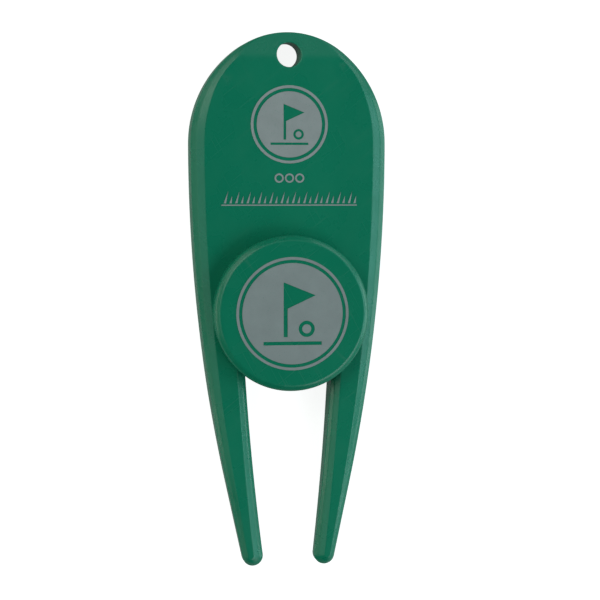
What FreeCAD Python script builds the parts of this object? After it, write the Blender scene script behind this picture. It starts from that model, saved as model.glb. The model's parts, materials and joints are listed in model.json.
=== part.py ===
"""Divot repair tool with a push-in ball marker.

Frame: the tool lies on its flat back. +Z is the normal of the printed front face, +Y runs
from the prong tips to the key-ring hole, and X runs across. The origin is at the middle of
the length and width, on the back face. All sizes are millimetres.
"""
import FreeCAD, Part
import math
import os
import Sketcher

SIZES = {
    # the moulding as a whole
    "tool_length": 82.8,
    "tool_thickness": 5.0,
    "widest_station": 24.3,
    # bevel round the front: the rim is the outer outline, the face the flat it leaves
    "bevel_drop": 1.0,
    "rim_half_width": 15.2,
    "rim_crown_radius": 13.45,
    "rim_side_radius": 255.0,
    "face_half_width": 13.1,
    "face_crown_radius": 12.4,
    "face_side_radius": 305.0,
    "face_top_setback": 1.05,
    # prongs and the gap between them; the flats of the prongs lie towards their outer sides
    "rim_tip_station": 5.65,
    "rim_tip_radius": 1.6,
    "face_tip_station": 6.05,
    "face_tip_radius": 0.45,
    "rim_notch_radius": 440.0,
    "face_notch_radius": 600.0,
    "notch_root": 8.0,
    "notch_corner_station": 3.8,
    "rim_corner_radius": 3.0,
    "notch_bevel": 1.35,
    "prong_taper_start": 14.0,
    "prong_taper_rise": 2.4,
    # slanted facet at the top of the face, and the key-ring hole through it
    "facet_start": 37.3,
    "facet_drop": 1.1,
    "ring_hole_station": 37.9,
    "ring_hole_radius": 1.9,
    # edge rounding left by the mould
    "back_edge_radius": 0.4,
    # ball marker and the socket it pushes into
    "marker_station": 1.8,
    "marker_radius": 12.0,
    "marker_thickness": 3.2,
    "marker_edge_radius": 0.9,
    "marker_foot": 0.3,
    "socket_radius": 2.6,
    "peg_clearance": 0.05,
    "peg_recess": 0.3,
    "peg_lead": 0.4,
    # printed ink
    "ink_thickness": 0.05,
    "ink_ring_width": 0.42,
    "ink_gap": 0.5,
    "body_badge_station": 27.2,
    "body_badge_radius": 6.0,
    "marker_badge_radius": 8.7,
    "emblem_station": 18.95,
    "emblem_pitch": 1.6,
    "emblem_radius": 0.72,
    "emblem_line": 0.26,
    "rule_station": 14.7,
    "rule_width": 0.18,
    "blade_pitch": 1.76,
    "blade_base": 0.36,
    "blade_gap": 0.2,
    "blade_lean": 0.5,
    "tall_blade": 1.8,
    "short_blade": 1.15,
}

DOC = FreeCAD.newDocument("DivotRepairTool")


def make_sheet():
    sheet = DOC.addObject("Spreadsheet::Sheet", "Sizes")
    for row, (alias, value) in enumerate(SIZES.items(), start=1):
        sheet.set("A%d" % row, alias)
        sheet.set("B%d" % row, str(value))
        sheet.setAlias("B%d" % row, alias)
    DOC.recompute()
    return sheet


SHEET = make_sheet()


def size(alias):
    return float(SHEET.get(alias))


def new_body(label):
    body = DOC.addObject("PartDesign::Body", label)
    body.Label = label
    return body


def origin_plane(body, role):
    return [feature for feature in body.Origin.OriginFeatures if feature.Role == role][0]


def new_sketch(body, name, height=None, role="XY_Plane"):
    """Sketch on one of the body's own planes, lifted by an expression if height is given."""
    sketch = body.newObject("Sketcher::SketchObject", name)
    sketch.AttachmentSupport = [(origin_plane(body, role), "")]
    sketch.MapMode = "FlatFace"
    if height is not None:
        sketch.setExpression("AttachmentOffset.Base.z", height)
    return sketch


def bind(sketch, name, expression, *constraint):
    """Add a dimension and drive it from the sheet."""
    index = sketch.addConstraint(Sketcher.Constraint(*constraint))
    sketch.renameConstraint(index, name)
    sketch.setExpression("Constraints." + name, expression)


def join(sketch, kind, *ends):
    sketch.addConstraint(Sketcher.Constraint(kind, *ends))


def cell(alias):
    """A size as its value and the expression that reads it."""
    return size(alias), "Sizes." + alias


def vector(x, y, z=0.0):
    return FreeCAD.Vector(x, y, z)


def toward(centre, target, distance):
    return centre + (target - centre).normalize() * distance


def add_line(sketch, first, last):
    """Line from first to last; returns its index and the positions of its ends."""
    return sketch.addGeometry(Part.LineSegment(first, last)), 1, 2


def add_arc(sketch, centre, radius, first, last, clockwise):
    """Arc from first to last; returns its index and the positions of those two ends."""
    start, end = (last, first) if clockwise else (first, last)
    angles = [math.atan2(point.y - centre.y, point.x - centre.x) for point in (start, end)]
    if angles[1] < angles[0]:
        angles[1] += 2 * math.pi
    circle = Part.Circle(centre, vector(0, 0, 1), radius)
    index = sketch.addGeometry(Part.ArcOfCircle(circle, angles[0], angles[1]))
    return (index, 2, 1) if clockwise else (index, 1, 2)


def left_meeting(centre_a, radius_a, centre_b, radius_b):
    """The left-hand point at radius_a from centre_a and radius_b from centre_b."""
    span = centre_b - centre_a
    along = (span.Length ** 2 + radius_a ** 2 - radius_b ** 2) / (2 * span.Length)
    across = math.sqrt(radius_a ** 2 - along ** 2)
    unit = vector(span.x, span.y).normalize()
    normal = vector(-unit.y, unit.x)
    points = [centre_a + unit * along + normal * side * across for side in (1, -1)]
    return min(points, key=lambda point: point.x)


def half_outline(sketch, dims):
    """Right half of the fork's outline, closed along the centre line.

    dims gives each size as a value and its expression: top, crown, half_width, side, tip_x,
    tip_y, tip_radius, notch_radius, root and corner. The chain runs clockwise from the top.
    """
    value = {name: pair[0] for name, pair in dims.items()}
    drive = {name: pair[1] for name, pair in dims.items()}
    widest = size("widest_station")
    half_width = value["half_width"]
    crown = value["crown"]
    rise = value["top"] - widest
    shoulder = (half_width ** 2 + rise ** 2 - 2 * rise * crown) / (2 * (half_width - crown))
    crown_centre = vector(0, value["top"] - crown)
    shoulder_centre = vector(half_width - shoulder, widest)
    side_centre = vector(half_width - value["side"], widest)
    tip_centre = vector(value["tip_x"], -value["tip_y"])
    corner_centre = vector(size("notch_corner_station"), -value["root"] - value["corner"])
    notch_centre = left_meeting(
        tip_centre, value["notch_radius"] + value["tip_radius"],
        corner_centre, value["notch_radius"] - value["corner"])

    # normal of the common tangent of the side arc and the tip arc
    span = tip_centre - side_centre
    spread = math.acos((value["side"] - value["tip_radius"]) / span.Length)
    heading = math.atan2(span.y, span.x) + spread
    normal = vector(math.cos(heading), math.sin(heading))

    top = vector(0, value["top"])
    crown_end = crown_centre + (crown_centre - shoulder_centre).normalize() * crown
    widest_point = vector(half_width, widest)
    side_end = side_centre + normal * value["side"]
    tip_start = tip_centre + normal * value["tip_radius"]
    tip_end = toward(tip_centre, notch_centre, value["tip_radius"])
    notch_end = toward(notch_centre, corner_centre, value["notch_radius"])
    corner_end = vector(corner_centre.x, -value["root"])
    root = vector(0, -value["root"])

    crown_arc = add_arc(sketch, crown_centre, crown, top, crown_end, True)
    shoulder_arc = add_arc(sketch, shoulder_centre, shoulder, crown_end, widest_point, True)
    side_arc = add_arc(sketch, side_centre, value["side"], widest_point, side_end, True)
    prong_line = add_line(sketch, side_end, tip_start)
    tip_arc = add_arc(sketch, tip_centre, value["tip_radius"], tip_start, tip_end, True)
    notch_arc = add_arc(sketch, notch_centre, value["notch_radius"], tip_end, notch_end, False)
    corner_arc = add_arc(sketch, corner_centre, value["corner"], notch_end, corner_end, False)
    root_line = add_line(sketch, corner_end, root)
    axis = add_line(sketch, root, top)

    chain = [
        crown_arc, shoulder_arc, side_arc, prong_line,
        tip_arc, notch_arc, corner_arc, root_line,
    ]
    for before, after in zip(chain, chain[1:]):
        join(sketch, "Tangent", before[0], before[2], after[0], after[1])
    join(sketch, "Coincident", root_line[0], root_line[2], axis[0], axis[1])
    join(sketch, "Coincident", axis[0], axis[2], crown_arc[0], crown_arc[1])
    join(sketch, "PointOnObject", axis[0], axis[1], -2)
    join(sketch, "PointOnObject", axis[0], axis[2], -2)
    join(sketch, "PointOnObject", crown_arc[0], 3, -2)
    join(sketch, "Horizontal", root_line[0])
    join(sketch, "Horizontal", side_arc[0], 3, side_arc[0], side_arc[1])

    bind(sketch, "top", drive["top"], "DistanceY", -1, 1, axis[0], axis[2], top.y)
    bind(sketch, "root", drive["root"], "DistanceY", axis[0], axis[1], -1, 1, -root.y)
    bind(sketch, "half_width", drive["half_width"],
         "DistanceX", -1, 1, side_arc[0], side_arc[1], half_width)
    bind(sketch, "widest", "Sizes.widest_station",
         "DistanceY", -1, 1, side_arc[0], side_arc[1], widest)
    bind(sketch, "tip_x", drive["tip_x"], "DistanceX", -1, 1, tip_arc[0], 3, tip_centre.x)
    bind(sketch, "tip_y", drive["tip_y"], "DistanceY", tip_arc[0], 3, -1, 1, -tip_centre.y)
    bind(sketch, "corner_x", "Sizes.notch_corner_station",
         "DistanceX", -1, 1, corner_arc[0], 3, corner_centre.x)
    bind(sketch, "crown", drive["crown"], "Radius", crown_arc[0], crown)
    bind(sketch, "side", drive["side"], "Radius", side_arc[0], value["side"])
    bind(sketch, "tip", drive["tip_radius"], "Radius", tip_arc[0], value["tip_radius"])
    bind(sketch, "notch", drive["notch_radius"], "Radius", notch_arc[0], value["notch_radius"])
    bind(sketch, "corner", drive["corner"], "Radius", corner_arc[0], value["corner"])


def tip_level():
    """Distance of both outlines' tip centres below the origin."""
    return (size("tool_length") / 2 - size("rim_tip_radius"),
            "Sizes.tool_length / 2 - Sizes.rim_tip_radius")


def rim_dims():
    half_length = size("tool_length") / 2
    return {
        "top": (half_length, "Sizes.tool_length / 2"),
        "crown": cell("rim_crown_radius"),
        "half_width": cell("rim_half_width"),
        "side": cell("rim_side_radius"),
        "tip_x": cell("rim_tip_station"),
        "tip_y": tip_level(),
        "tip_radius": cell("rim_tip_radius"),
        "notch_radius": cell("rim_notch_radius"),
        "root": cell("notch_root"),
        "corner": cell("rim_corner_radius"),
    }


def face_dims():
    """The face keeps the rim's notch-corner centres, so its bevel runs round them evenly."""
    half_length = size("tool_length") / 2
    setback = size("face_top_setback")
    bevel = size("notch_bevel")
    return {
        "top": (half_length - setback, "Sizes.tool_length / 2 - Sizes.face_top_setback"),
        "crown": cell("face_crown_radius"),
        "half_width": cell("face_half_width"),
        "side": cell("face_side_radius"),
        "tip_x": cell("face_tip_station"),
        "tip_y": tip_level(),
        "tip_radius": cell("face_tip_radius"),
        "notch_radius": cell("face_notch_radius"),
        "root": (size("notch_root") - bevel, "Sizes.notch_root - Sizes.notch_bevel"),
        "corner": (size("rim_corner_radius") + bevel,
                   "Sizes.rim_corner_radius + Sizes.notch_bevel"),
    }


def add_polygon(sketch, corners):
    """Closed polygon whose corners are pinned to the sheet.

    Each corner is an (x, y) pair of (value, expression) sizes. A zero value lies on the axis.
    """
    points = [vector(x[0], y[0]) for x, y in corners]
    lines = []
    for first, last in zip(points, points[1:] + points[:1]):
        lines.append(sketch.addGeometry(Part.LineSegment(first, last)))
    for before, after in zip(lines, lines[1:] + lines[:1]):
        join(sketch, "Coincident", before, 2, after, 1)
    for index, (x, y) in zip(lines, corners):
        pin(sketch, index, 1, x, y)


def add_circle(sketch, centre, radius):
    """Circle whose centre and radius are (value, expression) sizes."""
    middle = vector(centre[0][0], centre[1][0])
    index = sketch.addGeometry(Part.Circle(middle, vector(0, 0, 1), radius[0]))
    pin(sketch, index, 3, *centre)
    bind(sketch, "radius_%d" % index, radius[1], "Radius", index, radius[0])


def pin(sketch, index, position, x, y):
    """Hold a point at signed distances from the sketch's origin."""
    for kind, axis, (value, expression) in (("DistanceX", -2, x), ("DistanceY", -1, y)):
        if value == 0:
            join(sketch, "PointOnObject", index, position, axis)
            continue
        name = "%s_%d_%d" % (kind, index, position)
        bind(sketch, name, expression, kind, -1, 1, index, position, value)


def less(pair):
    return -pair[0], "-(%s)" % pair[1]


def plus(*pairs):
    return sum(pair[0] for pair in pairs), " + ".join("(%s)" % pair[1] for pair in pairs)


def times(pair, factor):
    return pair[0] * factor, "(%s) * %r" % (pair[1], factor)


ZERO = (0.0, "0")


def cut_across(body, name, corners):
    """Pocket a polygon drawn in the YZ plane right through the width."""
    sketch = new_sketch(body, name + "_side", role="YZ_Plane")
    add_polygon(sketch, corners)
    cut = body.newObject("PartDesign::Pocket", name)
    cut.Profile = sketch
    cut.Midplane = True
    cut.setExpression("Length", "Sizes.rim_half_width * 3")
    body.Tip = cut
    DOC.recompute()


def drill(body, name, station, radius):
    """Hole through the moulding at a station on the centre line."""
    sketch = new_sketch(body, name + "_circle")
    add_circle(sketch, (ZERO, station), radius)
    hole = body.newObject("PartDesign::Pocket", name)
    hole.Profile = sketch
    hole.Midplane = True
    hole.setExpression("Length", "Sizes.tool_thickness * 3")
    body.Tip = hole
    DOC.recompute()


def back_edges(body):
    """Outline edges of the flat back and of the tapered backs of the prongs."""
    back_top = size("prong_taper_rise") + 0.05
    hole_width = 2 * size("socket_radius") + 0.1
    edges = []
    for number, edge in enumerate(body.Shape.Edges, start=1):
        box = edge.BoundBox
        on_back = box.ZMax < back_top
        crease = box.YLength < 0.01 and box.YMin < -size("prong_taper_start") + 0.01
        hole = box.XLength < hole_width and box.XMin < -1 and box.XMax > 1
        if on_back and not crease and not hole:
            edges.append("Edge%d" % number)
    return edges


def fork_body():
    """One moulding: straight-walled slab up to the rim, bevel up to the face, mirrored."""
    body = new_body("fork_body")
    rim = new_sketch(body, "rim_outline")
    half_outline(rim, rim_dims())
    slab = body.newObject("PartDesign::Pad", "slab")
    slab.Profile = rim
    slab.setExpression("Length", "Sizes.tool_thickness - Sizes.bevel_drop")
    bevel_foot = new_sketch(body, "bevel_foot", "Sizes.tool_thickness - Sizes.bevel_drop")
    half_outline(bevel_foot, rim_dims())
    bevel_top = new_sketch(body, "bevel_top", "Sizes.tool_thickness")
    half_outline(bevel_top, face_dims())
    DOC.recompute()
    bevel = body.newObject("PartDesign::AdditiveLoft", "bevel")
    bevel.Profile = bevel_foot
    bevel.Sections = [bevel_top]
    bevel.Ruled = True
    DOC.recompute()
    halves = body.newObject("PartDesign::Mirrored", "halves")
    halves.Originals = [slab, bevel]
    halves.MirrorPlane = (origin_plane(body, "YZ_Plane"), [""])
    body.Tip = halves
    DOC.recompute()

    face = cell("tool_thickness")
    head_end = times(cell("tool_length"), 0.5)
    facet_low = plus(face, less(cell("facet_drop")))
    cut_across(body, "facet", [
        (cell("facet_start"), face),
        (head_end, facet_low),
        (head_end, times(face, 1.5)),
        (cell("facet_start"), times(face, 1.5)),
    ])
    cut_across(body, "prong_taper", [
        (less(cell("prong_taper_start")), ZERO),
        (less(head_end), cell("prong_taper_rise")),
        (less(head_end), less(face)),
        (less(cell("prong_taper_start")), less(face)),
    ])
    drill(body, "ring_hole", cell("ring_hole_station"), cell("ring_hole_radius"))
    drill(body, "socket", less(cell("marker_station")), cell("socket_radius"))
    sharp = body.Tip
    edges = back_edges(body)
    rounding = body.newObject("PartDesign::Fillet", "back_rounding")
    rounding.Base = (sharp, edges)
    rounding.setExpression("Radius", "Sizes.back_edge_radius")
    body.Tip = rounding
    return body


def ball_marker():
    """Disc resting on the face, with a peg that fills the socket; turned about its own axis."""
    body = new_body("ball_marker")
    body.setExpression("Placement.Base.y", "-Sizes.marker_station")
    seat = cell("tool_thickness")
    top = plus(seat, cell("marker_thickness"))
    radius = cell("marker_radius")
    peg = plus(cell("socket_radius"), less(cell("peg_clearance")))
    end = cell("peg_recess")
    profile = new_sketch(body, "profile", role="XZ_Plane")
    add_polygon(profile, [
        (ZERO, end),
        (plus(peg, less(cell("peg_lead"))), end),
        (peg, plus(end, cell("peg_lead"))),
        (peg, seat),
        (plus(radius, less(cell("marker_foot"))), seat),
        (radius, plus(seat, cell("marker_foot"))),
        (radius, top),
        (ZERO, top),
    ])
    turned = body.newObject("PartDesign::Revolution", "turned")
    turned.Profile = profile
    turned.ReferenceAxis = (profile, ["V_Axis"])
    DOC.recompute()
    edge = body.newObject("PartDesign::Fillet", "edge_rounding")
    rim = [
        "Edge%d" % number
        for number, candidate in enumerate(turned.Shape.Edges, start=1)
        if candidate.BoundBox.ZMin > top[0] - 0.01 and candidate.BoundBox.XLength > radius[0]
    ]
    edge.Base = (turned, rim)
    edge.setExpression("Radius", "Sizes.marker_edge_radius")
    body.Tip = edge
    return body


def ink_layer(body, sketch, name):
    layer = body.newObject("PartDesign::Pad", name)
    layer.Profile = sketch
    layer.setExpression("Length", "Sizes.ink_thickness")
    return layer


def badge(label, height, station, radius):
    """Round printed badge: a ring, and a disc in which a golf flag and ball are left bare."""
    body = new_body(label)
    body.AllowCompound = True
    body.setExpression("Placement.Base.y", station[1])
    sketch = new_sketch(body, "artwork", height)
    middle = (ZERO, ZERO)
    ring_inside = plus(radius, less(cell("ink_ring_width")))
    disc = plus(ring_inside, less(cell("ink_gap")))
    for outline in (radius, ring_inside, disc):
        add_circle(sketch, middle, outline)

    def spot(x, y):
        """A place given as fractions of the disc's radius."""
        return times(disc, x), times(disc, y)

    flag = [(-0.18, -0.46), (-0.18, 0.62), (0.46, 0.36), (-0.10, 0.10), (-0.10, -0.46)]
    add_polygon(sketch, [spot(x, y) for x, y in flag])
    ground = [(-0.58, -0.62), (0.58, -0.62), (0.58, -0.55), (-0.58, -0.55)]
    add_polygon(sketch, [spot(x, y) for x, y in ground])
    add_circle(sketch, spot(0.28, -0.30), times(disc, 0.16))
    add_circle(sketch, spot(0.28, -0.30), times(disc, 0.09))
    ink_layer(body, sketch, "ink")
    return body


def ornament():
    """Three small rings over a row of grass blades on a ground line."""
    body = new_body("body_ornament_print")
    body.AllowCompound = True
    sketch = new_sketch(body, "rings_and_rule", "Sizes.tool_thickness")
    for step in (-1, 0, 1):
        centre = (times(cell("emblem_pitch"), step) if step else ZERO, cell("emblem_station"))
        add_circle(sketch, centre, cell("emblem_radius"))
        add_circle(sketch, centre, plus(cell("emblem_radius"), less(cell("emblem_line"))))
    blades = 12
    reach = times(cell("blade_pitch"), blades / 2)
    rule_top = plus(cell("rule_station"), cell("rule_width"))
    add_polygon(sketch, [
        (less(reach), cell("rule_station")),
        (reach, cell("rule_station")),
        (reach, rule_top),
        (less(reach), rule_top),
    ])
    ink_layer(body, sketch, "rings_and_rule_ink")
    DOC.recompute()
    foot = plus(rule_top, cell("blade_gap"))
    rows = (("tall_blade", 0.2, 1.0), ("short_blade", 0.7, 0.5))
    for name, offset, lean in rows:
        left = plus(less(reach), times(cell("blade_pitch"), offset))
        tip = plus(left, times(cell("blade_base"), 0.5), times(cell("blade_lean"), lean))
        blade = new_sketch(body, name + "_outline", "Sizes.tool_thickness")
        add_polygon(blade, [
            (left, foot),
            (plus(left, cell("blade_base")), foot),
            (tip, plus(foot, cell(name))),
        ])
        ink = ink_layer(body, blade, name + "_ink")
        DOC.recompute()
        row = body.newObject("PartDesign::LinearPattern", name + "_row")
        row.Originals = [ink]
        row.Direction = (blade, ["H_Axis"])
        row.Occurrences = blades
        row.setExpression("Length", "Sizes.blade_pitch * %d" % (blades - 1))
        body.Tip = row
        DOC.recompute()
    return body


def check_and_write(nodes):
    DOC.recompute()
    for item in DOC.Objects:
        if "Invalid" in item.State or "Error" in item.State:
            raise RuntimeError("%s failed: %s" % (item.Name, item.State))
    for node in nodes:
        if node.Shape.isNull() or not node.Shape.isValid() or node.Shape.Volume <= 0:
            raise RuntimeError("%s has no valid solid" % node.Label)
    os.makedirs("parts", exist_ok=True)
    for node in nodes:
        node.Shape.exportStep("parts/%s.step" % node.Label)
        print("%-22s %9.3f mm3, %d solids" % (node.Label, node.Shape.Volume, len(node.Shape.Solids)))


fork = fork_body()
marker = ball_marker()
marker_face = "Sizes.tool_thickness + Sizes.marker_thickness"
prints = [
    badge("body_badge_print", "Sizes.tool_thickness",
          cell("body_badge_station"), cell("body_badge_radius")),
    ornament(),
    badge("marker_badge_print", marker_face,
          less(cell("marker_station")), cell("marker_badge_radius")),
]
check_and_write([fork, marker] + prints)
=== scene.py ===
import json
import math

import bmesh
import bpy
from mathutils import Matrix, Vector
from mathutils.geometry import delaunay_2d_cdt


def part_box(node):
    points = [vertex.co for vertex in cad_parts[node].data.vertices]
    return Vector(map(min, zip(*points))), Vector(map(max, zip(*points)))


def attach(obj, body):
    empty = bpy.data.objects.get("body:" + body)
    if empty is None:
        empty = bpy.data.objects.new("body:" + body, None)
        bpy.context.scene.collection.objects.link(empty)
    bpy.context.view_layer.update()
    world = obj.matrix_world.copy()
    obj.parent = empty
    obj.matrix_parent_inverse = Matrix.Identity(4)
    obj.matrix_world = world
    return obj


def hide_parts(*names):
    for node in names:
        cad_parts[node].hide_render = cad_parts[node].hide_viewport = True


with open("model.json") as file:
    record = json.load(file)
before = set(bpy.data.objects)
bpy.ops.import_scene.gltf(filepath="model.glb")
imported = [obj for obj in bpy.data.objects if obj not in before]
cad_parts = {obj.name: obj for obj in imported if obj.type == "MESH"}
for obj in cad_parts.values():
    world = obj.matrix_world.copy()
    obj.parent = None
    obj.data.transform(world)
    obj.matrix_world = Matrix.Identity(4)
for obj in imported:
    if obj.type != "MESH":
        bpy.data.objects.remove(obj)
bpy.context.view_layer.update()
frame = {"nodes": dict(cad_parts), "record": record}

MM = 0.001

# ---------------------------------------------------------------- sizes, from the frame
FORK_LOW, FORK_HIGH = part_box("fork_body")
MARKER_LOW, MARKER_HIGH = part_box("ball_marker")
HALF_WIDTH = FORK_HIGH.x
HALF_LENGTH = (FORK_HIGH.y - FORK_LOW.y) / 2
FACE_Z = FORK_HIGH.z
MARKER_RADIUS = (MARKER_HIGH.x - MARKER_LOW.x) / 2
MARKER_Y = (MARKER_HIGH.y + MARKER_LOW.y) / 2
PEG_END_Z = MARKER_LOW.z
RING_HOLE = next(m for m in frame["record"]["mounts"] if m["name"] == "key_ring_hole")
RING_HOLE_Y = RING_HOLE["pos_m"][1]
RING_HOLE_RADIUS = RING_HOLE["dims"]["r_mm"] * MM

# the moulding's outline, as tangent arcs; widest is where its sides run parallel
WIDEST_Y = 24.3 * MM
TIP_RADIUS = 1.6 * MM
TIP_Y = -HALF_LENGTH + TIP_RADIUS
CORNER_X = 3.8 * MM
BEVEL_DROP = 1.0 * MM
RIM_Z = FACE_Z - BEVEL_DROP
RIM = {
    "top": HALF_LENGTH, "crown": 13.45 * MM, "half_width": HALF_WIDTH, "side": 255 * MM,
    "tip_x": 5.65 * MM, "tip": TIP_RADIUS, "notch": 440 * MM, "root": -8.0 * MM,
    "corner": 3.0 * MM,
}
FACE = {
    "top": HALF_LENGTH - 1.05 * MM, "crown": 12.4 * MM, "half_width": 13.1 * MM, "side": 305 * MM,
    "tip_x": 6.05 * MM, "tip": 0.45 * MM, "notch": 600 * MM, "root": -6.65 * MM,
    "corner": 4.35 * MM,
}
FACET_START_Y = 37.3 * MM
FACET_DROP = 1.1 * MM
FACET_SLOPE = FACET_DROP / (HALF_LENGTH - FACET_START_Y)
TAPER_START_Y = -14.0 * MM
TAPER_RISE = 2.4 * MM
TAPER_SLOPE = TAPER_RISE / (HALF_LENGTH + TAPER_START_Y)
SOCKET_RADIUS = 2.6 * MM
PEG_RADIUS = 2.55 * MM

# steps along the outline's arcs and straights
HEAD_STEPS = 150
SIDE_STEPS = 64
STRAIGHT_STEPS = 22
TIP_STEPS = 14
NOTCH_STEPS = 48
CORNER_STEPS = 14
ROOT_STEPS = 8

# edge rounding; a pair holds the value at the head and the value at the prongs
BACK_EDGE = 0.4 * MM
BACK_MARGIN = 0.9 * MM
RIM_ROUNDING = (0.22 * MM, 0.30 * MM)
FACE_ROUNDING = (1.9 * MM, 1.8 * MM)
FACE_MARGIN = 0.28 * MM
KNEE_REACH = 0.42
KNEE_RISE = 0.56
KNEE_ROUNDING = 1.6 * MM
HEAD_END_Y = -4.0 * MM
PRONG_START_Y = -16.0 * MM
ARC_SHARE = 0.49
EDGE_ARC_STEPS = 6
EDGE_RUN_STEPS = 4

# points on the flats, closer together where a crease runs across them
CREASE = 0.18 * MM
CREASE_COVER = 1.3
CREASE_ROWS = 7
FLAT_PITCH = 0.8 * MM
CLEARANCE = 0.3 * MM
FILL_INSIDE = 1
FILL_TOLERANCE = 1e-9
WELD_DISTANCE = 1e-7

# round holes, the marker and its peg; a lip is a quarter circle, as shares of its size
LIP = 0.12 * MM
LIP_CURVE = ((1.0, 0.0), (0.5, 0.134), (0.134, 0.5), (0.0, 1.0))
BORE_LEVELS = (0.25, 0.5, 0.75)
BORE_STEPS = 96
CAP_SHARE = 0.3
PEG_LEAD = 0.4 * MM
PEG_ROOT = PEG_LEAD / 2
MARKER_FOOT = 0.3 * MM
MARKER_BEVEL = 0.78 * MM
MARKER_BEVEL_DROP = 0.62 * MM
MARKER_SOFTNESS = 0.85 * MM
MARKER_STEPS = 192
MARKER_ARC_STEPS = 10
MARKER_RUN_STEPS = 3

# colours and finish of the plastic and the ink; WAVES are noise scales per metre
PLASTIC_DEEP = (0.003, 0.215, 0.119)
PLASTIC_LIGHT = (0.005, 0.233, 0.131)
PLASTIC_IOR = 1.5
BODY_GLOSS = 0.24
MARKER_GLOSS = 0.22
GLOSS_SPREAD = 0.09
FLOW_WAVES = 85.0
FLOW_STRETCH = (1.0, 0.45, 1.0)
CLOUD_WAVES = 240.0
MIDDLE = (0.3, 0.7)
SPECK_WAVES = 2600.0
SPECK_SPAN = (0.62, 0.74)
SPECK_SHOW = 0.25
EDGE_SPAN = (0.505, 0.56)
EDGE_SHOW = 0.30
EDGE_GREY = 0.30
EDGE_PALENESS = 0.14
SCRATCH_TURNS = (0.5, -0.9)
SCRATCH_WAVES = (5200.0, 4300.0)
SCRATCH_STRETCH = (1.0, 40.0, 1.0)
SCRATCH_SPAN = (0.735, 0.80)
SCRATCH_ROUGHNESS = 0.11
GRAIN_WAVES = 5200.0
SWELL_WAVES = 150.0
SWELL_BUMP = (0.12 * MM, 0.10)
GRAIN_BUMP = (0.012 * MM, 0.35)
SCRATCH_BUMP = (0.010 * MM, 0.28)
BODY_INK = (0.380, 0.398, 0.402)
MARKER_INK = (0.322, 0.348, 0.352)
THIN_INK = (0.03, 0.26, 0.16)
INK_IOR = 1.48
INK_ROUGHNESS = (0.46, 0.60)
INK_BUMP = (0.015 * MM, 0.5)
PATCH_WAVES = 420.0
PATCH_SHADE = 0.9
PINHOLE_SPAN = (0.62, 0.76)
PINHOLE_SHOW = 0.45

# the camera, the floor and the lights
CAMERA_PLACE = (-46.46 * MM, 17.66 * MM, 303.09 * MM)
CAMERA_TILT = (-3.326, -9.169, 0.0)
CAMERA_LENS = 117.2
FLOOR_RADIUS = 3.0
FLOOR_GAP = 0.05 * MM
FLOOR_GLOW = 0.90
FLOOR_SPILL = 0.10
FLOOR_WAVES = 9.0
FLOOR_GREYS = ((0.42, 0.42, 0.42), (0.45, 0.45, 0.45))
FLOOR_ROUGHNESS = 0.9
FLOOR_STEPS = 96
BACKDROP = (0.93, 0.94, 0.95, 1.0)
WHITE = (1.0, 1.0, 1.0, 1.0)
ROOM_LIGHT = 0.02
PANEL_DISTANCE = 0.9
# name, azimuth and elevation in degrees, width and height in metres, radiance, tint
PANELS = (
    ("right_low_panel", 0.0, 8.0, 0.68, 0.26, 3.2, (0.70, 1.0, 0.98)),
    ("right_panel", 0.0, 38.0, 0.68, 0.26, 2.9, (0.55, 1.0, 1.04)),
    ("right_rear_panel", 45.0, 20.0, 0.55, 0.40, 1.4, (0.88, 1.0, 1.08)),
    ("rear_panel", 90.0, 50.0, 0.68, 0.26, 0.50, (0.92, 1.0, 1.12)),
    ("left_rear_low_panel", 135.0, 20.0, 0.55, 0.40, 1.1, (1.0, 1.0, 0.95)),
    ("left_rear_panel", 135.0, 45.0, 0.55, 0.40, 1.95, (1.0, 1.0, 0.94)),
    ("left_low_panel", 180.0, 8.0, 0.68, 0.26, 2.4, (0.94, 1.0, 0.84)),
    ("left_panel", 180.0, 38.0, 0.68, 0.26, 0.95, (0.82, 1.0, 0.78)),
    ("left_high_panel", 180.0, 55.0, 0.68, 0.26, 0.85, (0.74, 1.0, 0.94)),
    ("key_low_panel", 315.0, 20.0, 0.55, 0.40, 0.8, (1.0, 1.0, 1.0)),
    ("key_panel", 315.0, 45.0, 0.55, 0.40, 2.3, (0.94, 1.0, 1.05)),
)


# ---------------------------------------------------------------- small geometry helpers
def arc_points(centre, radius, first, last, steps):
    """Points from first towards last, the shorter way round; the last point is left out."""
    start = math.atan2(first.y - centre.y, first.x - centre.x)
    sweep = math.atan2(last.y - centre.y, last.x - centre.x) - start
    sweep = (sweep + math.pi) % (2 * math.pi) - math.pi
    angles = [start + sweep * step / steps for step in range(steps)]
    return [centre + Vector((math.cos(a), math.sin(a))) * radius for a in angles]


def line_points(first, last, steps):
    """Even points from first towards last; the last point is left out."""
    return [first.lerp(last, step / steps) for step in range(steps)]


def left_meeting(centre_a, radius_a, centre_b, radius_b):
    """The left-hand point at radius_a from centre_a and radius_b from centre_b."""
    span = centre_b - centre_a
    along = (span.length ** 2 + radius_a ** 2 - radius_b ** 2) / (2 * span.length)
    across = math.sqrt(radius_a ** 2 - along ** 2)
    unit = span.normalized()
    normal = Vector((-unit.y, unit.x))
    points = [centre_a + unit * along + normal * side * across for side in (1, -1)]
    return min(points, key=lambda point: point.x)


def soft_min(a, b, blend):
    """The smaller of two heights, rounded over where they cross."""
    mix = max(blend - abs(a - b), 0.0) / blend
    return min(a, b) - mix * mix * blend / 4


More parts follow.
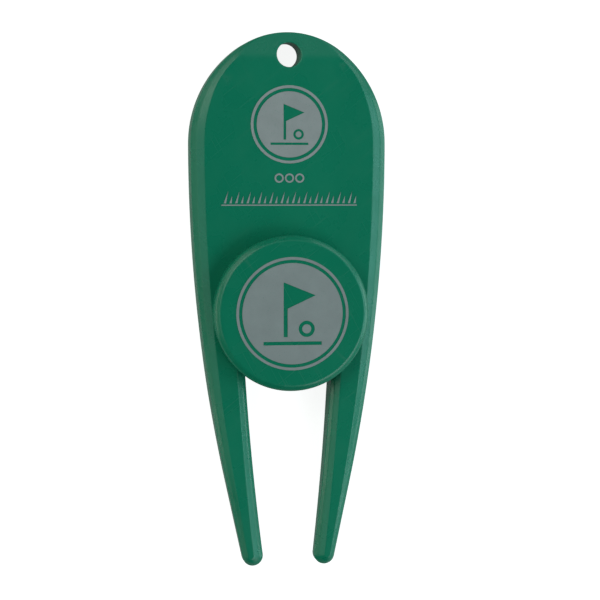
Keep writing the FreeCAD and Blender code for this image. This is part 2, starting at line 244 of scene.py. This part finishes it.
def head_points(size):
    """Crown and shoulder, at even headings from the middle of the widest line."""
    rise = size["top"] - WIDEST_Y
    half_width = size["half_width"]
    crown = size["crown"]
    shoulder = (half_width ** 2 + rise ** 2 - 2 * rise * crown) / (2 * (half_width - crown))
    crown_rise = rise - crown
    shoulder_x = half_width - shoulder
    crown_end = Vector((-shoulder_x, crown_rise)).normalized() * crown + Vector((0, crown_rise))
    crown_limit = math.atan2(crown_end.y, crown_end.x)
    points = []
    for step in range(HEAD_STEPS):
        heading = math.pi / 2 * (1 - step / HEAD_STEPS)
        across, up = math.cos(heading), math.sin(heading)
        if heading > crown_limit:
            reach = crown_rise * up + math.sqrt(crown ** 2 - (crown_rise * across) ** 2)
        else:
            reach = shoulder_x * across + math.sqrt(shoulder ** 2 - (shoulder_x * up) ** 2)
        points.append(Vector((reach * across, WIDEST_Y + reach * up)))
    return points


def half_outline(size):
    """Right half of the fork's outline, clockwise from the top to the root of the gap."""
    half_width = size["half_width"]
    side_centre = Vector((half_width - size["side"], WIDEST_Y))
    tip_centre = Vector((size["tip_x"], TIP_Y))
    corner_centre = Vector((CORNER_X, size["root"] - size["corner"]))
    notch_centre = left_meeting(
        tip_centre, size["notch"] + size["tip"], corner_centre, size["notch"] - size["corner"])
    span = tip_centre - side_centre
    heading = math.atan2(span.y, span.x) + math.acos((size["side"] - size["tip"]) / span.length)
    normal = Vector((math.cos(heading), math.sin(heading)))

    widest = Vector((half_width, WIDEST_Y))
    side_end = side_centre + normal * size["side"]
    tip_start = tip_centre + normal * size["tip"]
    tip_low = tip_centre + Vector((0, -size["tip"]))
    tip_end = tip_centre + (notch_centre - tip_centre).normalized() * size["tip"]
    notch_end = notch_centre + (corner_centre - notch_centre).normalized() * size["notch"]
    corner_end = Vector((CORNER_X, size["root"]))
    root = Vector((0, size["root"]))
    return (
        head_points(size)
        + arc_points(side_centre, size["side"], widest, side_end, SIDE_STEPS)
        + line_points(side_end, tip_start, STRAIGHT_STEPS)
        + arc_points(tip_centre, size["tip"], tip_start, tip_low, TIP_STEPS)
        + arc_points(tip_centre, size["tip"], tip_low, tip_end, TIP_STEPS)
        + arc_points(notch_centre, size["notch"], tip_end, notch_end, NOTCH_STEPS)
        + arc_points(corner_centre, size["corner"], notch_end, corner_end, CORNER_STEPS)
        + line_points(corner_end, root, ROOT_STEPS)
        + [root]
    )


def whole_outline(size):
    """The half outline and its mirror image, as one closed loop."""
    right = half_outline(size)
    left = [Vector((-point.x, point.y)) for point in reversed(right[1:-1])]
    return right + left


def smooth_step(low, high, value):
    """0 at low, 1 at high, with no corner at either end."""
    share = min(max((value - low) / (high - low), 0.0), 1.0)
    return share * share * (3 - 2 * share)


def mixed(pair, share):
    """The value that lies a share of the way from the first of a pair to the second."""
    return pair[0] + (pair[1] - pair[0]) * share


def rounded(corners, arc_steps, run_steps):
    """Points along (distance, height, radius) corners, with the inner corners made into arcs."""
    arcs = [[Vector(corners[0][:2])]]
    for before, (distance, height, radius), after in zip(corners, corners[1:], corners[2:]):
        here = Vector((distance, height))
        back = Vector(before[:2]) - here
        ahead = Vector(after[:2]) - here
        turn = math.pi - back.angle(ahead)
        room = ARC_SHARE * min(back.length, ahead.length)
        reach = min(radius * math.tan(turn / 2), room)
        start = here + back.normalized() * reach
        end = here + ahead.normalized() * reach
        shares = [step / arc_steps for step in range(arc_steps + 1)]
        arcs.append([start * (1 - s) ** 2 + here * 2 * s * (1 - s) + end * s ** 2 for s in shares])
    arcs.append([Vector(corners[-1][:2])])
    points = []
    for arc, following in zip(arcs, arcs[1:]):
        points += arc[:-1] + line_points(arc[-1], following[0], run_steps)
    return points + arcs[-1]


def inside(point, loop):
    """True if a point lies within a closed loop of vertices, seen from above."""
    crossings = 0
    for first, second in zip(loop, loop[1:] + loop[:1]):
        a, b = first.co, second.co
        if (a.y > point.y) != (b.y > point.y):
            crossings += point.x < a.x + (b.x - a.x) * (point.y - a.y) / (b.y - a.y)
    return crossings % 2 == 1


def fill_flat(build, outline, holes, extra, height):
    """Triangles between an outline and its holes, with extra points that follow height(y)."""
    known = outline + [vertex for hole in holes for vertex in hole]
    owner = [0] * len(outline)
    edges = []
    for number, loop in enumerate([outline] + holes):
        start = len(edges)
        edges += [(start + i, start + (i + 1) % len(loop)) for i in range(len(loop))]
        owner += [number] * (len(loop) if number else 0)
    flat = [Vector((v.co.x, v.co.y)) for v in known]
    kept = [
        point for point in extra
        if inside(point, outline) and not any(inside(point, hole) for hole in holes)
        and min((point - corner).length for corner in flat) > CLEARANCE
    ]
    faces = delaunay_2d_cdt(flat + kept, edges, [], FILL_INSIDE, FILL_TOLERANCE)[2]
    made = known + [build.verts.new((p.x, p.y, height(p.y))) for p in kept]
    owner += [0] * len(kept)
    for face in faces:
        owners = {owner[index] for index in face}
        if owners == {0} or len(owners) > 1:
            build.faces.new([made[index] for index in face])


def bridge(build, rings):
    """Quads between neighbouring closed rings that hold the same number of vertices."""
    for lower, upper in zip(rings, rings[1:]):
        count = len(lower)
        for i in range(count):
            j = (i + 1) % count
            build.faces.new((lower[i], lower[j], upper[j], upper[i]))


def new_piece(name, build, material, body, node):
    """Finish a bmesh as a smooth piece that rides a body and stands for a CAD node."""
    bmesh.ops.remove_doubles(build, verts=build.verts, dist=WELD_DISTANCE)
    bmesh.ops.recalc_face_normals(build, faces=build.faces)
    for face in build.faces:
        face.smooth = True
    mesh = bpy.data.meshes.new(name)
    build.to_mesh(mesh)
    build.free()
    piece = bpy.data.objects.new(name, mesh)
    bpy.context.scene.collection.objects.link(piece)
    mesh.materials.append(material)
    normals = piece.modifiers.new("even_normals", "WEIGHTED_NORMAL")
    normals.keep_sharp = True
    normals.weight = 80
    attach(piece, body)
    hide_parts(node)
    return piece


# ---------------------------------------------------------------- the moulding
def front_height(z, y):
    """Height under the slanted facet at the key-ring end."""
    return soft_min(z, FACE_Z - FACET_SLOPE * (y - FACET_START_Y), CREASE)


def back_height(y):
    """Height of the back, which rises towards the prong tips."""
    return -soft_min(0.0, TAPER_SLOPE * (y - TAPER_START_Y), CREASE)


def edge_section(width, softness):
    """Edge profile as (distance in from the rim, height), from the back round to the face."""
    knee_height = RIM_Z + KNEE_RISE * (FACE_Z - RIM_Z)
    return rounded([
        (BACK_MARGIN, 0.0, 0.0),
        (0.0, 0.0, BACK_EDGE),
        (0.0, RIM_Z, mixed(RIM_ROUNDING, softness)),
        (KNEE_REACH * width, knee_height, KNEE_ROUNDING),
        (width, FACE_Z, mixed(FACE_ROUNDING, softness)),
        (width + FACE_MARGIN, FACE_Z, 0.0),
    ], arc_steps=EDGE_ARC_STEPS, run_steps=EDGE_RUN_STEPS)


def bore_rings(build, centre_y, radius):
    """Rings down a round hole's wall, with a small rounded lip at the face and at the back."""
    rings = []
    for reach, depth in LIP_CURVE:
        rings.append((radius + reach * LIP, depth * LIP, 0.0))
    for share in BORE_LEVELS:
        rings.append((radius, LIP, share))
    for reach, depth in reversed(LIP_CURVE):
        rings.append((radius + reach * LIP, depth * LIP, 1.0))
    made = []
    for ring_radius, inset, share in rings:
        ring = []
        for step in range(BORE_STEPS):
            angle = 2 * math.pi * step / BORE_STEPS
            x = ring_radius * math.cos(angle)
            y = centre_y + ring_radius * math.sin(angle)
            low = back_height(y) + inset
            high = front_height(FACE_Z, y) - inset
            ring.append(build.verts.new((x, y, low + (high - low) * share)))
        made.append(ring)
    bridge(build, made)
    return made[0], made[-1]


def even_points(crease_y, slope):
    """Staggered rows over a flat, closer together where a crease runs straight across it."""
    reach = CREASE_COVER * CREASE / slope
    rows = [crease_y + reach * row / CREASE_ROWS for row in range(-CREASE_ROWS, CREASE_ROWS + 1)]
    count = math.ceil(HALF_LENGTH / FLAT_PITCH)
    for row in range(-count, count + 1):
        y = row * FLAT_PITCH
        if abs(y - crease_y) > reach + FLAT_PITCH / 2:
            rows.append(y)
    columns = math.ceil(HALF_WIDTH / FLAT_PITCH)
    return [
        Vector(((column + 0.5 * (number % 2)) * FLAT_PITCH, y))
        for number, y in enumerate(sorted(rows)) for column in range(-columns, columns + 1)
    ]


def fork_piece(material):
    """The green moulding: flat back, bevelled front, two tapered prongs, two holes."""
    build = bmesh.new()
    columns = []
    for rim, face in zip(whole_outline(RIM), whole_outline(FACE)):
        inward = face - rim
        softness = smooth_step(HEAD_END_Y, PRONG_START_Y, rim.y)
        column = []
        for distance, height in edge_section(inward.length, softness):
            place = rim + inward.normalized() * distance
            low = back_height(place.y)
            lifted = low + height * (1 - low / RIM_Z) if height < RIM_Z else height
            column.append(build.verts.new((place.x, place.y, front_height(lifted, place.y))))
        columns.append(column)
    rings = [list(ring) for ring in zip(*columns)]
    bridge(build, rings)

    hole_low, hole_high = bore_rings(build, RING_HOLE_Y, RING_HOLE_RADIUS)
    socket_low, socket_high = bore_rings(build, MARKER_Y, SOCKET_RADIUS)
    fill_flat(build, rings[0], [hole_low, socket_low],
              even_points(TAPER_START_Y, TAPER_SLOPE), back_height)
    fill_flat(build, rings[-1], [hole_high, socket_high],
              even_points(FACET_START_Y, FACET_SLOPE), lambda y: front_height(FACE_Z, y))
    return new_piece("moulded_fork", build, material, "fork", "fork_body")


def marker_piece(material):
    """The ball marker: a thick disc with a softly bevelled rim, and a peg below it."""
    build = bmesh.new()
    section = rounded([
        (PEG_RADIUS * CAP_SHARE, PEG_END_Z, 0.0),
        (PEG_RADIUS, PEG_END_Z, PEG_LEAD),
        (PEG_RADIUS, FACE_Z, PEG_ROOT),
        (MARKER_RADIUS, FACE_Z, MARKER_FOOT),
        (MARKER_RADIUS, MARKER_HIGH.z - MARKER_BEVEL_DROP, MARKER_SOFTNESS),
        (MARKER_RADIUS - MARKER_BEVEL, MARKER_HIGH.z, MARKER_SOFTNESS),
        (MARKER_RADIUS * CAP_SHARE, MARKER_HIGH.z, 0.0),
    ], arc_steps=MARKER_ARC_STEPS, run_steps=MARKER_RUN_STEPS)
    rings = []
    for radius, height in section:
        ring = []
        for step in range(MARKER_STEPS):
            angle = 2 * math.pi * step / MARKER_STEPS
            x = radius * math.cos(angle)
            y = MARKER_Y + radius * math.sin(angle)
            ring.append(build.verts.new((x, y, height)))
        rings.append(ring)
    bridge(build, rings)
    for ring in (rings[0], rings[-1]):
        middle = build.verts.new((0.0, MARKER_Y, ring[0].co.z))
        for first, second in zip(ring, ring[1:] + ring[:1]):
            build.faces.new((first, second, middle))
    return new_piece(
        "moulded_ball_marker", build, material, "marker", "ball_marker")


# ---------------------------------------------------------------- materials
# sockets of the Mix node that carry colour
MIX_FACTOR = 0
MIX_FIRST = 6
MIX_SECOND = 7
MIX_RESULT = 2


def add_node(tree, kind, inputs=None, **settings):
    """A node with its settings; an input is a value, or a socket to link from."""
    made = tree.nodes.new(kind)
    for key, value in settings.items():
        setattr(made, key, value)
    for key, value in (inputs or {}).items():
        if isinstance(value, bpy.types.NodeSocket):
            tree.links.new(value, made.inputs[key])
        else:
            made.inputs[key].default_value = value
    return made


def noise(tree, place, waves, detail):
    """A soft random pattern from 0 to 1, with its size given in waves per metre."""
    return add_node(tree, "ShaderNodeTexNoise", {
        "Vector": place, "Scale": waves, "Detail": detail,
    }).outputs["Fac"]


def remap(tree, value, old, new):
    """The value, moved from one (low, high) span to another."""
    return add_node(tree, "ShaderNodeMapRange", {
        "Value": value, "From Min": old[0], "From Max": old[1], "To Min": new[0], "To Max": new[1],
    }).outputs["Result"]


def blend_colour(tree, factor, first, second):
    """Two colours mixed by a factor; a colour is a value, or a socket to link from."""
    made = add_node(tree, "ShaderNodeMix", data_type="RGBA")
    tree.links.new(factor, made.inputs[MIX_FACTOR])
    for index, colour in ((MIX_FIRST, first), (MIX_SECOND, second)):
        if isinstance(colour, bpy.types.NodeSocket):
            tree.links.new(colour, made.inputs[index])
        else:
            made.inputs[index].default_value = (*colour, 1.0)
    return made.outputs[MIX_RESULT]


def bump(tree, height, size, below=None):
    """A normal raised by a height; size is (distance in metres, strength)."""
    inputs = {"Height": height, "Distance": size[0], "Strength": size[1]}
    if below is not None:
        inputs["Normal"] = below
    return add_node(tree, "ShaderNodeBump", inputs).outputs["Normal"]


def scratches(tree, place, turn, waves):
    """Thin, long, sparse lines in one direction: 1 on a line, 0 elsewhere."""
    stretched = add_node(tree, "ShaderNodeMapping", {
        "Vector": place, "Rotation": (0.0, 0.0, turn), "Scale": SCRATCH_STRETCH,
    }, vector_type="TEXTURE").outputs["Vector"]
    lines = noise(tree, stretched, waves, detail=0.0)
    return remap(tree, lines, SCRATCH_SPAN, (0.0, 1.0))


def new_material(name):
    """An empty node material, its shader, and the object's own coordinates in metres."""
    material = bpy.data.materials.new(name)
    material.use_nodes = True
    tree = material.node_tree
    shader = tree.nodes["Principled BSDF"]
    place = add_node(tree, "ShaderNodeTexCoord").outputs["Object"]
    return material, tree, shader, place


def moulded_plastic(name, gloss):
    """Injection-moulded plastic: faint flow marks, pigment specks, satin grain, fine scratches."""
    material, tree, shader, place = new_material(name)
    flow_place = add_node(tree, "ShaderNodeMapping", {
        "Vector": place, "Scale": FLOW_STRETCH,
    }).outputs["Vector"]
    flow = noise(tree, flow_place, FLOW_WAVES, detail=3.0)
    specks = noise(tree, place, SPECK_WAVES, detail=1.0)
    worn = add_node(tree, "ShaderNodeNewGeometry").outputs["Pointiness"]
    edge = remap(tree, worn, EDGE_SPAN, (0.0, EDGE_SHOW))
    base = blend_colour(tree, remap(tree, flow, MIDDLE, (0.0, 1.0)), PLASTIC_DEEP, PLASTIC_LIGHT)
    shown = remap(tree, specks, SPECK_SPAN, (0.0, SPECK_SHOW))
    specked = blend_colour(tree, shown, base, PLASTIC_LIGHT)
    pale = tuple(mixed((channel, EDGE_GREY), EDGE_PALENESS) for channel in PLASTIC_LIGHT)
    tree.links.new(blend_colour(tree, edge, specked, pale), shader.inputs["Base Color"])

    cloud = noise(tree, place, CLOUD_WAVES, detail=4.0)
    roughness = remap(tree, cloud, MIDDLE, (gloss, gloss + GLOSS_SPREAD))
    first, second = [
        scratches(tree, place, turn, waves) for turn, waves in zip(SCRATCH_TURNS, SCRATCH_WAVES)
    ]
    marks = add_node(tree, "ShaderNodeMath", {
        0: first, 1: second,
    }, operation="MAXIMUM").outputs[0]
    scuffed = add_node(tree, "ShaderNodeMath", {
        0: marks, 1: SCRATCH_ROUGHNESS, 2: roughness,
    }, operation="MULTIPLY_ADD")
    tree.links.new(scuffed.outputs[0], shader.inputs["Roughness"])

    swell = bump(tree, noise(tree, place, SWELL_WAVES, detail=1.0), SWELL_BUMP)
    grain = bump(tree, noise(tree, place, GRAIN_WAVES, detail=2.0), GRAIN_BUMP, below=swell)
    cut = bump(tree, marks, SCRATCH_BUMP, below=grain)
    cut.node.invert = True
    tree.links.new(cut, shader.inputs["Normal"])
    shader.inputs["IOR"].default_value = PLASTIC_IOR
    return material


def pad_ink(name, dense):
    """Pad-printed ink: matte film with a fine grain and pinholes that show the plastic."""
    material, tree, shader, place = new_material(name)
    grain = noise(tree, place, GRAIN_WAVES, detail=2.0)
    patches = noise(tree, place, PATCH_WAVES, detail=3.0)
    shaded = tuple(PATCH_SHADE * channel for channel in dense)
    film = blend_colour(tree, remap(tree, patches, MIDDLE, (0.0, 1.0)), dense, shaded)
    pinholes = remap(tree, grain, PINHOLE_SPAN, (0.0, PINHOLE_SHOW))
    tree.links.new(blend_colour(tree, pinholes, film, THIN_INK), shader.inputs["Base Color"])
    tree.links.new(remap(tree, grain, MIDDLE, INK_ROUGHNESS), shader.inputs["Roughness"])
    tree.links.new(bump(tree, grain, INK_BUMP), shader.inputs["Normal"])
    shader.inputs["IOR"].default_value = INK_IOR
    return material


def pale_floor():
    """Back-lit pale table: bright to look at, with little light spilling up onto the object."""
    material, tree, shader, place = new_material("pale_table")
    clouds = noise(tree, place, FLOOR_WAVES, detail=2.0)
    tree.links.new(blend_colour(tree, clouds, *FLOOR_GREYS), shader.inputs["Base Color"])
    shader.inputs["Roughness"].default_value = FLOOR_ROUGHNESS
    shader.inputs["Specular IOR Level"].default_value = 0.0
    shader.inputs["Emission Color"].default_value = WHITE
    seen = add_node(tree, "ShaderNodeLightPath").outputs["Is Camera Ray"]
    glow = remap(tree, seen, (0.0, 1.0), (FLOOR_SPILL, FLOOR_GLOW))
    tree.links.new(glow, shader.inputs["Emission Strength"])
    return material


# ---------------------------------------------------------------- floor, lights and camera
def floor():
    """A wide round table top, just under the back of the tool."""
    build = bmesh.new()
    bmesh.ops.create_circle(build, cap_ends=True, radius=FLOOR_RADIUS, segments=FLOOR_STEPS)
    mesh = bpy.data.meshes.new("table_top")
    build.to_mesh(mesh)
    build.free()
    table = bpy.data.objects.new("table_top", mesh)
    table.location.z = -FLOOR_GAP
    bpy.context.scene.collection.objects.link(table)
    mesh.materials.append(pale_floor())


def panel_light(name, azimuth, elevation, width, height, radiance, colour):
    """Soft panel that faces the object; azimuth is measured from +X towards +Y, in degrees."""
    turn, rise = math.radians(azimuth), math.radians(elevation)
    level = math.cos(rise)
    direction = Vector((math.cos(turn) * level, math.sin(turn) * level, math.sin(rise)))
    data = bpy.data.lights.new(name, "AREA")
    data.shape = "RECTANGLE"
    data.size = width
    data.size_y = height
    data.energy = radiance * math.pi * width * height
    data.color = colour
    light = bpy.data.objects.new(name, data)
    light.location = direction * PANEL_DISTANCE
    light.rotation_euler = direction.to_track_quat("Z", "Y").to_euler()
    light.visible_camera = False
    bpy.context.scene.collection.objects.link(light)


def studio():
    """Soft panels all round, in a room that is bright only to the camera."""
    for panel in PANELS:
        panel_light(*panel)
    world = bpy.data.worlds.new("studio")
    world.use_nodes = True
    tree = world.node_tree
    backdrop = tree.nodes["Background"]
    backdrop.inputs["Color"].default_value = BACKDROP
    room = add_node(tree, "ShaderNodeBackground", {"Color": WHITE, "Strength": ROOM_LIGHT})
    seen = add_node(tree, "ShaderNodeLightPath").outputs["Is Camera Ray"]
    mix = add_node(tree, "ShaderNodeMixShader", {
        0: seen, 1: room.outputs[0], 2: backdrop.outputs[0],
    })
    tree.links.new(mix.outputs[0], tree.nodes["World Output"].inputs["Surface"])
    bpy.context.scene.world = world


def camera():
    """Above the tool and a little to its left, as seen in a product picture."""
    data = bpy.data.cameras.new("camera")
    data.sensor_width = 36.0
    data.lens = CAMERA_LENS
    data.clip_start = 0.01
    data.clip_end = 10.0
    eye = bpy.data.objects.new("camera", data)
    eye.location = CAMERA_PLACE
    eye.rotation_euler = [math.radians(angle) for angle in CAMERA_TILT]
    bpy.context.scene.collection.objects.link(eye)
    bpy.context.scene.camera = eye
    bpy.context.scene.view_settings.view_transform = "Standard"


# ---------------------------------------------------------------- assembly
fork_piece(moulded_plastic("green_plastic_body", BODY_GLOSS))
marker_piece(moulded_plastic("green_plastic_marker", MARKER_GLOSS))
body_ink = pad_ink("grey_ink_body", BODY_INK)
for node_name, ink in (
        ("body_badge_print", body_ink),
        ("body_ornament_print", body_ink),
        ("marker_badge_print", pad_ink("grey_ink_marker", MARKER_INK))):
    mesh = frame["nodes"][node_name].data
    mesh.materials.clear()
    mesh.materials.append(ink)

floor()
studio()
camera()
